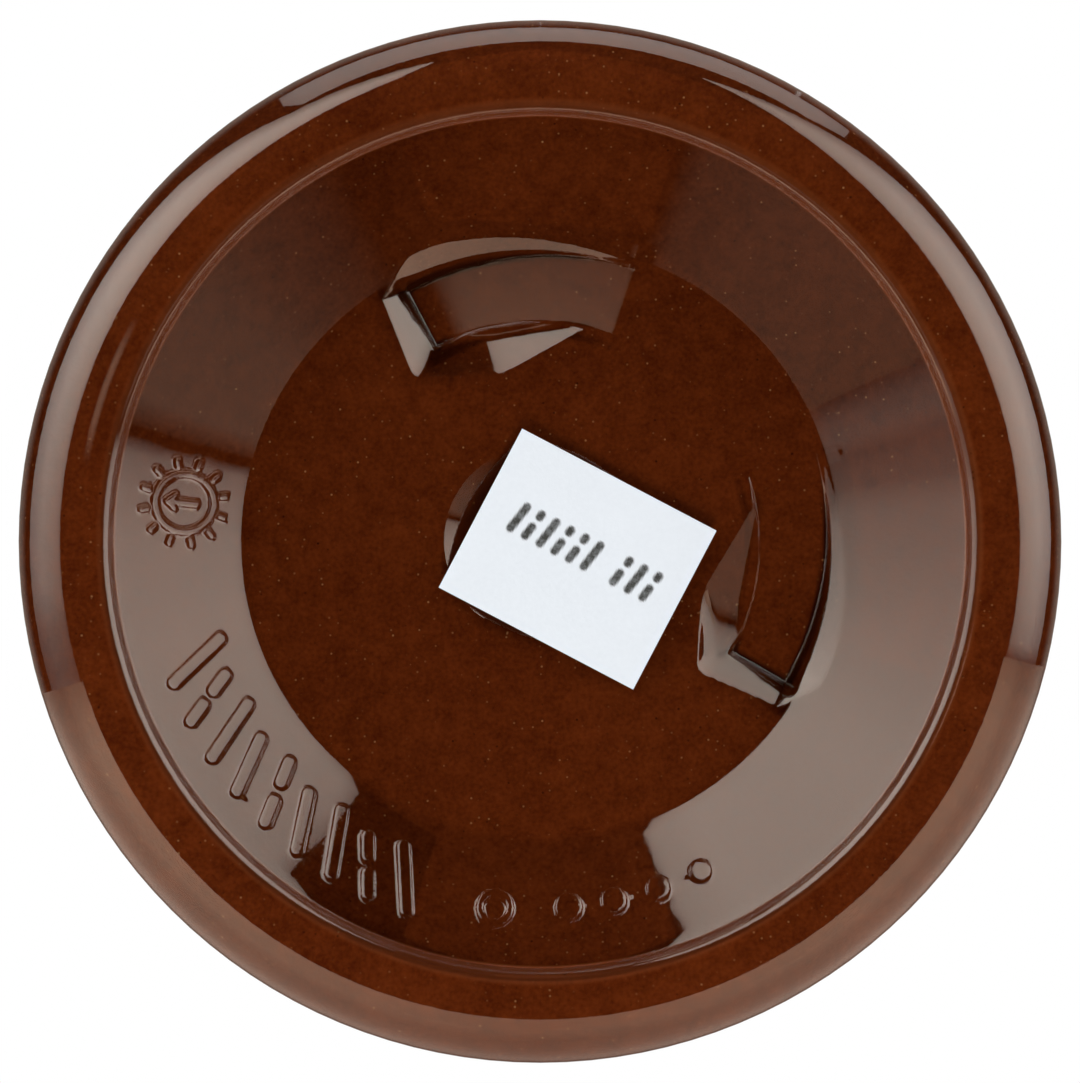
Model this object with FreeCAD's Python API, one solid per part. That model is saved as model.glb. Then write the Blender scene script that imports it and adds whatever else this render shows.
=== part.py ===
"""Sunflower seed butter jar: a blow-moulded clear jar on its standing ring, the butter that fills it,
a ribbed screw lid and a small paper sticker under the base.

Millimetres, +Z up. The origin is the centre of the standing ring, on the surface the jar stands on.
"""

import FreeCAD, Part
import math
import os

from FreeCAD import Vector

# Jar body, from the outside
body_radius = 41.5
rim_height = 103.0
heel_round = 5.6
shoulder_round = 8.0
body_wall = 0.7

# Label panel, a shallow recess round the body between two bands
panel_depth = 0.4
panel_slope = 1.2
panel_round = 1.0
heel_band = 7.4
shoulder_band = 10.5

# Standing ring and the cone inside it
ring_flat = 0.75
ring_flank_round = 1.3
crease_height = 1.5
crease_round = 0.25
punt_radius = 23.55
punt_height = 6.8
punt_round = 1.4
base_wall = 1.1

# Round dimple in the middle of the base
dimple_radius = 7.8
dimple_depth = 1.35
dimple_slope = 2.6
dimple_round = 0.8

# Two ramped index pockets in the flat of the base, mirror images about one line
pocket_axis = -44.0
pocket_deep_end = 75.0
pocket_shallow_end = 26.5
pocket_width = 5.7
pocket_ledge = 0.45
pocket_depth = 2.4
pocket_mouth_round = 1.5

# Shoulder, neck and rim
neck_radius = 33.6
neck_wall = 2.2
neck_foot_round = 2.0
shoulder_rise = 6.0
foot_gap = 1.1
finish_height = 13.4
bead_reach = 2.2
bead_height = 1.6
bead_round = 0.5

# Butter
headspace = 12.5

# Lid
thread_space = 1.9
lid_wall = 1.5
lid_top = 1.6
lid_bead_gap = 0.6
lid_edge_round = 1.8
lid_lip_round = 0.4
lid_corner_round = 0.5
rib_count = 72
rib_groove_radius = 0.8
rib_groove_depth = 0.45
rib_foot = 1.4
rib_head = 2.6

# Sticker, face to face with the flat of the base
sticker_length = 17.5
sticker_width = 14.3
sticker_thickness = 0.12
sticker_x = 3.0
sticker_y = 1.4
sticker_turn = 27.7

# What follows from them
ring_inner_radius = body_radius - heel_round - ring_flat - ring_flank_round
pocket_outer_radius = punt_radius - pocket_ledge
pocket_inner_radius = pocket_outer_radius - pocket_width
bead_low = rim_height - finish_height
neck_foot_height = bead_low - foot_gap
shoulder_height = neck_foot_height - shoulder_rise
fill_height = rim_height - headspace


def offset_points(points, walls):
    """Moves each leg of an open outline to its left by its own wall and keeps the corners parallel."""
    legs = []
    for (r0, z0, _), (r1, z1, _), wall in zip(points, points[1:], walls):
        length = math.hypot(r1 - r0, z1 - z0)
        along = ((r1 - r0) / length, (z1 - z0) / length)
        start = (r0 - along[1] * wall, z0 + along[0] * wall)
        legs.append((start, along, length, wall))
    first, last = legs[0], legs[-1]
    moved = [(first[0][0], first[0][1], 0.0)]
    for (p, d, _, wall), (q, e, _, next_wall), corner in zip(legs, legs[1:], points[1:]):
        turn = d[0] * e[1] - d[1] * e[0]
        reach = ((q[0] - p[0]) * e[1] - (q[1] - p[1]) * e[0]) / turn
        inside = min(wall, next_wall)
        radius = corner[2] - inside if turn > 0 else corner[2] + inside
        moved.append((p[0] + d[0] * reach, p[1] + d[1] * reach, max(radius, 0.0)))
    end = (last[0][0] + last[1][0] * last[2], last[0][1] + last[1][1] * last[2])
    moved.append((end[0], end[1], 0.0))
    return moved


def outline_edges(points):
    """Straight runs joined by tangent arcs; each point is radius, height and the rounding of its corner."""
    edges = []
    here = Vector(points[0][0], 0, points[0][1])
    for before, corner, after in zip(points, points[1:], points[2:]):
        tip = Vector(corner[0], 0, corner[1])
        back = (Vector(before[0], 0, before[1]) - tip).normalize()
        ahead = (Vector(after[0], 0, after[1]) - tip).normalize()
        half = back.getAngle(ahead) / 2
        if corner[2] <= 0:
            edges.append(Part.LineSegment(here, tip).toShape())
            here = tip
            continue
        reach = corner[2] / math.tan(half)
        start = tip + back * reach
        stop = tip + ahead * reach
        middle = tip + (back + ahead).normalize() * (corner[2] / math.sin(half) - corner[2])
        if here.distanceToPoint(start) > 1e-6:
            edges.append(Part.LineSegment(here, start).toShape())
        edges.append(Part.Arc(start, middle, stop).toShape())
        here = stop
    edges.append(Part.LineSegment(here, Vector(points[-1][0], 0, points[-1][1])).toShape())
    return edges


def turned(points):
    """Solid of revolution of an outline that starts and ends on the axis."""
    edges = outline_edges(points)
    start, end = edges[0].Vertexes[0].Point, Vector(points[-1][0], 0, points[-1][1])
    edges.append(Part.LineSegment(end, start).toShape())
    face = Part.Face(Part.Wire(edges))
    return face.revolve(Vector(0, 0, 0), Vector(0, 0, 1), 360)


def jar_outline():
    """Outside of the jar from the middle of the base to the rim, with the wall behind each run."""
    waist = body_radius - panel_depth
    panel_low = heel_round + heel_band
    panel_high = shoulder_height - shoulder_band
    runs = [
        (0.0, punt_height + dimple_depth, 0.0, base_wall),
        (dimple_radius - dimple_slope, punt_height + dimple_depth, dimple_round, base_wall),
        (dimple_radius, punt_height, dimple_round, base_wall),
        (punt_radius, punt_height, punt_round, base_wall),
        (ring_inner_radius, crease_height, crease_round, base_wall),
        (ring_inner_radius, 0.0, ring_flank_round, base_wall),
        (body_radius, 0.0, heel_round, body_wall),
        (body_radius, panel_low, panel_round, body_wall),
        (waist, panel_low + panel_slope, panel_round, body_wall),
        (waist, panel_high - panel_slope, panel_round, body_wall),
        (body_radius, panel_high, panel_round, body_wall),
        (body_radius, shoulder_height, shoulder_round, body_wall),
        (neck_radius, neck_foot_height, neck_foot_round, neck_wall),
        (neck_radius, rim_height, 0.0, 0.0),
    ]
    points = [run[:3] for run in runs]
    walls = [run[3] for run in runs[:-1]]
    return points, walls


def pocket(side, grow):
    """Cutter of one index pocket: a sector with a flat floor that ramps from nothing to its full depth."""
    inner = pocket_inner_radius - grow
    outer = pocket_outer_radius + grow
    extra = math.degrees(grow / pocket_outer_radius)
    deep = pocket_deep_end + extra
    shallow = pocket_shallow_end - extra
    low = crease_height
    high = punt_height + 2 * pocket_depth + grow
    block = Part.makeCylinder(outer, high - low, Vector(0, 0, low), Vector(0, 0, 1), deep - shallow)
    block = block.cut(Part.makeCylinder(inner, high - low, Vector(0, 0, low)))
    mean_radius = (pocket_inner_radius + pocket_outer_radius) / 2
    run = mean_radius * math.sin(math.radians(pocket_deep_end - pocket_shallow_end))
    slope = math.degrees(math.atan2(pocket_depth, run))
    above = Part.makeBox(4 * outer, 4 * outer, 4 * outer, Vector(-2 * outer, -2 * outer, 0))
    above.rotate(Vector(0, 0, 0), Vector(1, 0, 0), slope)
    above.translate(Vector(0, 0, punt_height + grow))
    block.rotate(Vector(0, 0, 0), Vector(0, 0, 1), shallow - pocket_shallow_end)
    cutter = block.cut(above)
    cutter.rotate(Vector(0, 0, 0), Vector(0, 0, 1), pocket_shallow_end)
    if side < 0:
        cutter = cutter.mirror(Vector(0, 0, 0), Vector(0, 1, 0))
    cutter.rotate(Vector(0, 0, 0), Vector(0, 0, 1), pocket_axis)
    return cutter


def mouth_edges(solid):
    """Edges where the pockets' inner and deep end walls meet the flat of the base."""
    found = []
    for edge in solid.Edges:
        box = edge.BoundBox
        middle = edge.valueAt((edge.FirstParameter + edge.LastParameter) / 2)
        radius = math.hypot(middle.x, middle.y)
        turn = abs((math.degrees(math.atan2(middle.y, middle.x)) - pocket_axis + 180) % 360 - 180)
        flat = abs(box.ZMin - punt_height) < 1e-4 and abs(box.ZMax - punt_height) < 1e-4
        across = pocket_inner_radius - 0.01 < radius < pocket_outer_radius - 0.01
        if flat and across and turn > pocket_shallow_end + 1:
            found.append(edge)
    return found


def make_jar_and_butter():
    points, walls = jar_outline()
    bead = [
        (0.0, bead_low, 0.0),
        (neck_radius + bead_reach, bead_low, bead_round),
        (neck_radius + bead_reach, bead_low + bead_height, bead_round),
        (0.0, bead_low + bead_height, 0.0),
    ]
    inside = offset_points(points, walls)
    bore = inside[-1][0]
    inside[-1] = (bore, rim_height + 1.0, 0.0)
    outer = turned(points + [(0.0, rim_height, 0.0)]).fuse(turned(bead))
    cavity = turned(inside + [(0.0, rim_height + 1.0, 0.0)])
    for side in (1, -1):
        outer = outer.cut(pocket(side, 0.0))
        cavity = cavity.cut(pocket(side, base_wall))
    jar = outer.makeFillet(pocket_mouth_round, mouth_edges(outer)).cut(cavity)
    below = Part.makeCylinder(2 * body_radius, fill_height)
    return jar, cavity.common(below)


def make_lid():
    low = bead_low + bead_height + lid_bead_gap
    high = rim_height + lid_top
    inner = neck_radius + thread_space
    outer = inner + lid_wall
    shell = [
        (0.0, rim_height, 0.0),
        (inner, rim_height, lid_corner_round),
        (inner, low, 0.0),
        (outer, low, lid_lip_round),
        (outer, high, lid_edge_round),
        (0.0, high, 0.0),
    ]
    lid = turned(shell)
    length = high - rib_head - low - rib_foot
    centre = outer + rib_groove_radius - rib_groove_depth
    grooves = []
    for number in range(rib_count):
        angle = 2 * math.pi * number / rib_count
        foot = Vector(centre * math.cos(angle), centre * math.sin(angle), low + rib_foot)
        grooves.append(Part.makeCylinder(rib_groove_radius, length, foot))
    return lid.cut(Part.makeCompound(grooves))


def make_sticker():
    corner = Vector(-sticker_length / 2, -sticker_width / 2, punt_height - sticker_thickness)
    sheet = Part.makeBox(sticker_length, sticker_width, sticker_thickness, corner)
    sheet.rotate(Vector(0, 0, 0), Vector(0, 0, 1), sticker_turn)
    sheet.translate(Vector(sticker_x, sticker_y, 0))
    return sheet


def main():
    os.makedirs("parts", exist_ok=True)
    jar, butter = make_jar_and_butter()
    nodes = {"jar": jar, "butter": butter, "lid": make_lid(), "sticker": make_sticker()}
    for name, shape in nodes.items():
        solids = shape.Solids
        print(name, len(solids), "solid", shape.isValid(), "volume", round(shape.Volume, 1), shape.BoundBox)
        shape = solids[0] if len(solids) == 1 else shape
        shape.exportStep(f"parts/{name}.step")


main()
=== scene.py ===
import math

import bmesh
import bpy
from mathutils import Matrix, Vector, noise


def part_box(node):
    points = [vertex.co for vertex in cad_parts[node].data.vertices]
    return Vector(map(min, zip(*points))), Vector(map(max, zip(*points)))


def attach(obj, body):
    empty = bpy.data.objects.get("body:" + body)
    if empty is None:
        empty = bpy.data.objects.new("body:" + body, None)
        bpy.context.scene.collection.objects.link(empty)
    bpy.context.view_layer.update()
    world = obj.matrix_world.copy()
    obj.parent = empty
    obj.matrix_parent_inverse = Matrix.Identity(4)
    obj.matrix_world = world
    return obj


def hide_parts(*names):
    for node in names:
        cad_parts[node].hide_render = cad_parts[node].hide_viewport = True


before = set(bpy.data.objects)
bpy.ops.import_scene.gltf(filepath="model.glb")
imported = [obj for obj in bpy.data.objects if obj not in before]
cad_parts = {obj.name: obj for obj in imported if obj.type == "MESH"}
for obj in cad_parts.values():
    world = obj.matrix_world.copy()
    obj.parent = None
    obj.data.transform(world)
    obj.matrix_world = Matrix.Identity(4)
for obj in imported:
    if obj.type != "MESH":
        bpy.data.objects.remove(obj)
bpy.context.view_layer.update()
mm = 0.001  # shapes are worked out in millimetres and made in metres

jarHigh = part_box("jar")[1] / mm
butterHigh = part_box("butter")[1] / mm
lidLow, lidHigh = (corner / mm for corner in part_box("lid"))
stickerLow, stickerHigh = (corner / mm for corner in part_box("sticker"))
print("frame loaded:", ", ".join(sorted(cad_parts)))

jar = {
    "bodyRadius": jarHigh.x,
    "rimHeight": jarHigh.z,
    "heelRound": 5.6,
    "shoulderRound": 8.0,
    "bodyWall": 0.7,
    "panelDepth": 0.4,
    "panelSlope": 1.2,
    "panelRound": 1.0,
    "heelBand": 7.4,
    "shoulderBand": 10.5,
    "ringFlat": 0.75,
    "ringFlankRound": 1.3,
    "creaseHeight": 1.5,
    "creaseRound": 0.25,
    "puntRadius": 23.55,
    "puntHeight": 6.8,
    "puntRound": 1.4,
    "baseWall": 1.1,
    "dimpleRadius": 7.8,
    "dimpleDepth": 1.35,
    "dimpleSlope": 2.6,
    "dimpleRound": 0.8,
    "neckRadius": 33.6,
    "neckWall": 2.2,
    "neckFootRound": 2.0,
    "shoulderRise": 6.0,
    "footGap": 1.1,
    "finishHeight": 13.4,
    "beadReach": 2.2,
    "beadHeight": 1.6,
    "beadRound": 0.5,
    "rimRound": 0.5,
    "lipDepth": 1.5,  # the rim's rounding and its way down into the neck
    "neckStep": 1.0,
    "sectors": 128,
    "outerArc": 6.0,  # degrees to each step round a corner, outside and inside
    "innerArc": 15.0,
    "upperArc": 13.0,  # the same above upperFrom, on every piece
    "upperFrom": 20.0,
    "baseTop": 14.0,  # nothing of the base lies above this
}
jar["ringRadius"] = jar["bodyRadius"] - jar["heelRound"] - jar["ringFlat"] - jar["ringFlankRound"]
jar["beadLow"] = jar["rimHeight"] - jar["finishHeight"]
jar["neckFoot"] = jar["beadLow"] - jar["footGap"]
jar["shoulderHeight"] = jar["neckFoot"] - jar["shoulderRise"]

pockets = {
    "axis": -44.0,
    "deepEnd": 75.0,
    "shallowEnd": 26.5,
    "outerRadius": jar["puntRadius"] - 0.45,
    "width": 5.7,
    "depth": 2.5,
    "dish": 0.08,  # the ramp eases off a little towards its deep end
    "dishFrom": 12.0,
    "innerDraft": 0.10,  # how far each wall leans in, for each millimetre of depth
    "outerDraft": 0.21,
    "endDraft": 0.17,
    "innerWallSlope": 3.2,
    "outerWallSlope": 2.2,
    "endWallSlope": 2.2,
    "floorRound": 0.22,
    # shallow slopes round the walls: the way each falls, its start from the middle and its steepness
    "slopes": [(74.7, 13.0, 0.47), (48.0, 12.5, 0.47), (47.0, 12.9, 0.95), (-22.0, -4.55, 0.66)],
    "slopeBlend": 0.6,
    "outerSlope": 0.3,
    "outerReach": 2.0,
    "bandFrom": 25.0,  # the outer slope widens from this turn on, over so many degrees
    "bandOver": 40.0,
    "bandEnd": (69.5, 79.5),  # and dies away between these turns
    "lipWidth": 0.8,
    "lipRise": 0.34,
    "lipFall": 1.2,
    "shortOfFloor": 0.08,  # the slopes never come as deep as the floor
    "shortBlend": 0.12,
    "floorEdge": 2.5,
    "wallBlend": 0.1,
    "mouthBlend": 0.06,
    "reachIn": 4.9,  # how far past its walls a pocket shapes the base, the last one in degrees
    "reachOut": 3.0,
    "reachRound": 16.0,
    "fineInside": 0.15,  # where a spot counts as steep and is cut finer
    "fineBelow": 0.25,
    "fineAbove": 0.2,
    "fineMargins": (4.7, 2.2, 13.0),  # inward, outward and past the deep end
    "shadeStep": 0.5,
    "shadeFrom": 0.15,
    "shadeTo": 0.6,
}
pockets["innerRadius"] = pockets["outerRadius"] - pockets["width"]


def offsetCorners(corners, walls):
    # every leg of an open outline moves to its left by its own wall, and the corners stay parallel
    legs = []
    for start, end, wall in zip(corners, corners[1:], walls):
        along = Vector((end[0] - start[0], end[1] - start[1])).normalized()
        legs.append((Vector(start[:2]) + Vector((-along.y, along.x)) * wall, along, wall))
    moved = [(legs[0][0].x, legs[0][0].y, 0.0)]
    for (p, d, wall), (q, e, nextWall), corner in zip(legs, legs[1:], corners[1:]):
        turn = d.x * e.y - d.y * e.x
        reach = ((q.x - p.x) * e.y - (q.y - p.y) * e.x) / turn
        inside = min(wall, nextWall)
        radius = corner[2] - inside if turn > 0 else corner[2] + inside
        tip = p + d * reach
        moved.append((tip.x, tip.y, max(radius, 0.0)))
    moved.append((legs[-1][0].x, corners[-1][1], 0.0))
    return moved


def addRun(points, end, step):
    start = points[-1]
    length = (end - start).length
    if length < 1e-6:
        return
    count = max(1, math.ceil(length / step))
    for number in range(1, count + 1):
        points.append(start.lerp(end, number / count))


def roundedPath(corners, steps, arcStep):
    # straight runs joined by tangent arcs, each cut into short steps
    points = [Vector(corners[0][:2])]
    for before, corner, after, step in zip(corners, corners[1:], corners[2:], steps):
        tip = Vector(corner[:2])
        if corner[2] < 0.05:
            addRun(points, tip, step)
            continue
        back = (Vector(before[:2]) - tip).normalized()
        ahead = (Vector(after[:2]) - tip).normalized()
        half = back.angle(ahead) / 2
        reach = corner[2] / math.tan(half)
        centre = tip + (back + ahead).normalized() * corner[2] / math.sin(half)
        addRun(points, tip + back * reach, step)
        spoke = points[-1] - centre
        sweep = math.pi - 2 * half
        side = 1 if back.x * ahead.y - back.y * ahead.x < 0 else -1
        sweepStep = jar["upperArc"] if corner[1] > jar["upperFrom"] else arcStep
        count = max(2, math.ceil(math.degrees(sweep) / sweepStep))
        for number in range(1, count + 1):
            angle = side * sweep * number / count
            turned = Vector((spoke.x * math.cos(angle) - spoke.y * math.sin(angle),
                             spoke.x * math.sin(angle) + spoke.y * math.cos(angle)))
            points.append(centre + turned)
    addRun(points, Vector(corners[-1][:2]), steps[-1])
    return points


def jarCorners():
    # outside of the jar from the middle of the base to the rim: radius, height, rounding, wall, step
    waist = jar["bodyRadius"] - jar["panelDepth"]
    panelLow = jar["heelRound"] + jar["heelBand"]
    panelHigh = jar["shoulderHeight"] - jar["shoulderBand"]
    dimpleHeight = jar["puntHeight"] + jar["dimpleDepth"]
    base, body, neck = jar["baseWall"], jar["bodyWall"], jar["neckWall"]
    runs = [
        (0.0, dimpleHeight, 0.0, base, 0.8),
        (jar["dimpleRadius"] - jar["dimpleSlope"], dimpleHeight, jar["dimpleRound"], base, 0.5),
        (jar["dimpleRadius"], jar["puntHeight"], jar["dimpleRound"], base, 0.5),
        (jar["puntRadius"], jar["puntHeight"], jar["puntRound"], base, 1.0),
        (jar["ringRadius"], jar["creaseHeight"], jar["creaseRound"], base, 0.4),
        (jar["ringRadius"], 0.0, jar["ringFlankRound"], base, 0.4),
        (jar["bodyRadius"], 0.0, jar["heelRound"], body, 2.0),
        (jar["bodyRadius"], panelLow, jar["panelRound"], body, 1.0),
        (waist, panelLow + jar["panelSlope"], jar["panelRound"], body, 4.0),
        (waist, panelHigh - jar["panelSlope"], jar["panelRound"], body, 1.0),
        (jar["bodyRadius"], panelHigh, jar["panelRound"], body, 4.0),
        (jar["bodyRadius"], jar["shoulderHeight"], jar["shoulderRound"], body, 2.0),
        (jar["neckRadius"], jar["neckFoot"], jar["neckFootRound"], neck, 2.0),
        (jar["neckRadius"], jar["rimHeight"], 0.0, neck, 2.0),
    ]
    corners = [run[:3] for run in runs]
    walls = [run[3] for run in runs[:-1]]
    steps = [run[4] for run in runs[:-1]]
    return corners, walls, steps


def clockAngle(x, y):
    return math.degrees(math.atan2(y, x))


def turnBetween(first, second):
    return abs((first - second + 180) % 360 - 180)


def between(low, high, value):
    # eases from 0 at low to 1 at high
    share = min(max((value - low) / (high - low), 0.0), 1.0)
    return share * share * (3 - 2 * share)


def smoothLarger(a, b, blend):
    return max(a, b) + max(blend - abs(a - b), 0.0) ** 2 / (4 * blend)


def smoothSmaller(a, b, blend):
    return -smoothLarger(-a, -b, blend)


def shoulderHeight(turn, radius, outward, depth):
    # the shallow slopes that run from the pocket's walls out into the base, one running into the next
    widened = min(max((turn - pockets["bandFrom"]) / pockets["bandOver"], 0.0), 1.0)
    reach = pockets["outerReach"] * widened * (1 - between(*pockets["bandEnd"], turn))
    height = pockets["outerSlope"] * (reach - outward)
    height += pockets["lipRise"] * max(pockets["lipWidth"] - outward, 0.0) ** 2
    height += pockets["lipFall"] * max(-outward, 0.0)
    for way, start, steepness in pockets["slopes"]:
        rise = steepness * (radius * math.cos(math.radians(turn - way)) - start)
        height = smoothSmaller(height, rise, pockets["slopeBlend"])
    return smoothSmaller(height, depth - pockets["shortOfFloor"], pockets["shortBlend"])


def pocketSurface(x, y, grow=0.0):
    # depth of the two ramped pockets, mirror images about one line, and whether this is a steep spot
    radius = math.hypot(x, y)
    inner = pockets["innerRadius"] - grow
    outer = pockets["outerRadius"] + grow
    extra = math.degrees(grow / outer)
    turn = turnBetween(clockAngle(x, y), pockets["axis"])
    deepEnd = pockets["deepEnd"] + extra
    shallowEnd = pockets["shallowEnd"] - extra
    across = inner - pockets["reachIn"] < radius < outer + pockets["reachOut"]
    if not across or not shallowEnd < turn < deepEnd + pockets["reachRound"]:
        return 0.0, False
    meanRadius = (inner + outer) / 2
    slope = pockets["depth"] / (meanRadius * math.sin(math.radians(deepEnd - shallowEnd)))
    clampedTurn = min(turn, deepEnd)
    eased = max(clampedTurn - deepEnd + pockets["dishFrom"], 0.0) / pockets["dishFrom"]
    depth = slope * min(max(radius, inner), outer) * math.sin(math.radians(clampedTurn - shallowEnd))
    depth = max(depth - pockets["dish"] * eased ** 2, 0.001)
    inward, outward = inner - radius, radius - outer
    along = math.radians(turn - deepEnd) * radius
    walls = (
        (inward + pockets["innerDraft"] * depth, pockets["innerWallSlope"]),
        (outward + pockets["outerDraft"] * depth, pockets["outerWallSlope"]),
        (along + pockets["endDraft"] * depth, pockets["endWallSlope"]),
    )
    drop = math.sqrt(sum((max(gap, 0.0) * steepness) ** 2 for gap, steepness in walls))
    nearFloor = max(gap for gap, steepness in walls)
    if nearFloor <= 0:
        edge = depth - nearFloor * pockets["floorEdge"]
        return smoothSmaller(depth, edge, pockets["floorRound"]), nearFloor > -pockets["fineInside"]
    bevel = shoulderHeight(turn, radius, outward, depth)
    wall = depth - drop
    height = smoothLarger(wall, bevel, pockets["wallBlend"])
    height = smoothLarger(height, 0.0, pockets["mouthBlend"])
    steep = wall > bevel - pockets["fineBelow"] and wall > -pockets["fineAbove"]
    return smoothSmaller(height, depth, pockets["floorRound"]), steep


def pocketDepth(x, y, grow=0.0):
    return pocketSurface(x, y, grow)[0]


def pocketShade(x, y):
    # how much the steep walls keep light from the paste behind them, from 0 to 1
    depth = pocketDepth(x, y)
    if depth < pockets["shadeFrom"]:
        return 0.0
    step = pockets["shadeStep"]
    spots = ((x + step, y), (x - step, y), (x, y + step), (x, y - step))
    steepest = max(abs(pocketDepth(u, v) - depth) for u, v in spots)
    return between(pockets["shadeFrom"], pockets["shadeTo"], steepest)


def aroundPocket(radius, clock, inward, outward, past):
    # whether a spot lies over a pocket or this far past its walls
    across = pockets["innerRadius"] - inward < radius < pockets["outerRadius"] + outward
    turn = turnBetween(clock, pockets["axis"])
    return across and pockets["shallowEnd"] - 1 < turn < pockets["deepEnd"] + past


def polarDisc(ringCount, sectors):
    # flat disc of rings and sectors, one unit from ring to ring, to be bent round a path
    disc = bmesh.new()
    middle = disc.verts.new((0, 0, 0))
    rows = []
    for ring in range(1, ringCount):
        row = []
        for sector in range(sectors):
            angle = 2 * math.pi * sector / sectors
            row.append(disc.verts.new((ring * math.cos(angle), ring * math.sin(angle), 0)))
        rows.append(row)
    for sector in range(sectors):
        after = (sector + 1) % sectors
        disc.faces.new((middle, rows[0][sector], rows[0][after]))
        for low, high in zip(rows, rows[1:]):
            disc.faces.new((low[sector], high[sector], high[after], low[after]))
    return disc


def pathAt(path, position):
    number = min(int(position), len(path) - 2)
    return path[number].lerp(path[number + 1], position - number)


def refine(disc, path, wanted):
    # cuts the faces in two each way where wanted(radius, clock angle, ring) says so
    chosen = set()
    for face in disc.faces:
        middle = face.calc_center_median()
        position = math.hypot(middle.x, middle.y)
        place = pathAt(path, position)
        if wanted(place.x, clockAngle(middle.x, middle.y), position):
            chosen.update(face.edges)
    bmesh.ops.subdivide_edges(disc, edges=list(chosen), cuts=1, use_grid_fill=True, use_single_edge=True)


def wrapDisc(disc, path, lift):
    # bends the flat disc round the path, then moves each point by lift(x, y, z, ring)
    for vert in disc.verts:
        position = math.hypot(vert.co.x, vert.co.y)
        place = pathAt(path, position)
        angle = math.atan2(vert.co.y, vert.co.x)
        spot = Vector((place.x * math.cos(angle), place.x * math.sin(angle), place.y))
        vert.co = spot + lift(spot, position)
    bmesh.ops.remove_doubles(disc, verts=disc.verts, dist=0.002)


def finishMesh(name, mesh, smooth=True):
    # turns a bmesh in millimetres into an object in metres
    bmesh.ops.recalc_face_normals(mesh, faces=mesh.faces)
    for face in mesh.faces:
        face.smooth = smooth
    bmesh.ops.scale(mesh, vec=(mm, mm, mm), verts=mesh.verts)
    data = bpy.data.meshes.new(name)
    mesh.to_mesh(data)
    mesh.free()
    piece = bpy.data.objects.new(name, data)
    bpy.context.scene.collection.objects.link(piece)
    return piece


def nodeTools(tree):
    # short ways to place a node, set its sockets and link it
    def place(kind, values=None, **settings):
        node = tree.nodes.new(kind)
        for name, value in settings.items():
            setattr(node, name, value)
        for name, value in (values or {}).items():
            if isinstance(value, bpy.types.NodeSocket):
                tree.links.new(value, node.inputs[name])
            else:
                node.inputs[name].default_value = value
        return node
    return place


def newMaterial(name):
    material = bpy.data.materials.new(name)
    material.use_nodes = True
    material.node_tree.nodes.clear()
    return material, nodeTools(material.node_tree)


def newGroup(name, inputs, outputs):
    group = bpy.data.node_groups.new(name, "ShaderNodeTree")
    for label, kind, value in inputs:
        socket = group.interface.new_socket(label, in_out="INPUT", socket_type=kind)
        socket.default_value = value
    for label, kind in outputs:
        group.interface.new_socket(label, in_out="OUTPUT", socket_type=kind)
    place = nodeTools(group)
    return group, place, place("NodeGroupInput"), place("NodeGroupOutput")


def surfaceMottleGroup():
    # soft uneven patches, from 0 to 1, used by the butter, the lid and the paper
    inputs = [("Size mm", "NodeSocketFloat", 2.0), ("Contrast", "NodeSocketFloat", 1.0),
              ("Seed", "NodeSocketFloat", 0.0)]
    group, place, given, result = newGroup("surfaceMottle", inputs, [("Mask", "NodeSocketFloat")])
    where = place("ShaderNodeTexCoord")
    scale = place("ShaderNodeMath", {0: 1 / mm, 1: given.outputs["Size mm"]}, operation="DIVIDE")
    cloud = place("ShaderNodeTexNoise", {"Vector": where.outputs["Object"], "W": given.outputs["Seed"],
                                         "Scale": scale.outputs[0], "Detail": 4.0, "Roughness": 0.55},
                  noise_dimensions="4D")
    centred = place("ShaderNodeMath", {0: cloud.outputs["Fac"], 1: 0.5}, operation="SUBTRACT")
    spread = place("ShaderNodeMath", {0: centred.outputs[0], 1: given.outputs["Contrast"], 2: 0.5},
                   operation="MULTIPLY_ADD", use_clamp=True)
    group.links.new(spread.outputs[0], result.inputs["Mask"])
    return group


mottleGroup = surfaceMottleGroup()


def mottle(place, size, contrast, seed):
    node = place("ShaderNodeGroup", node_tree=mottleGroup)
    node.inputs["Size mm"].default_value = size
    node.inputs["Contrast"].default_value = contrast
    node.inputs["Seed"].default_value = seed
    return node.outputs["Mask"]


def blendColours(place, factor, first, second):
    node = place("ShaderNodeMix", data_type="RGBA")
    for socket, value in ((node.inputs[0], factor), (node.inputs[6], first), (node.inputs[7], second)):
        if isinstance(value, bpy.types.NodeSocket):
            node.id_data.links.new(value, socket)
        else:
            socket.default_value = value
    return node.outputs[2]


def clearPlastic():
    material, place = newMaterial("clearJarPlastic")
    where = place("ShaderNodeTexCoord")
    ripple = place("ShaderNodeTexNoise", {"Vector": where.outputs["Object"], "Scale": 45.0, "Detail": 1.0})
    bump = place("ShaderNodeBump", {"Strength": 0.12, "Distance": 0.0002, "Height": ripple.outputs["Fac"]})
    shell = place("ShaderNodeBsdfPrincipled", {
        "Base Color": (0.985, 0.99, 0.985, 1), "Roughness": 0.03, "IOR": 1.575,
        "Transmission Weight": 1.0, "Specular Tint": (1.0, 0.83, 0.70, 1), "Normal": bump.outputs[0]})
    through = place("ShaderNodeBsdfTransparent")
    ray = place("ShaderNodeLightPath")
    both = place("ShaderNodeMixShader", {0: ray.outputs["Is Shadow Ray"], 1: shell.outputs[0],
                                         2: through.outputs[0]})
    place("ShaderNodeOutputMaterial", {"Surface": both.outputs[0]})
    return material


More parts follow.
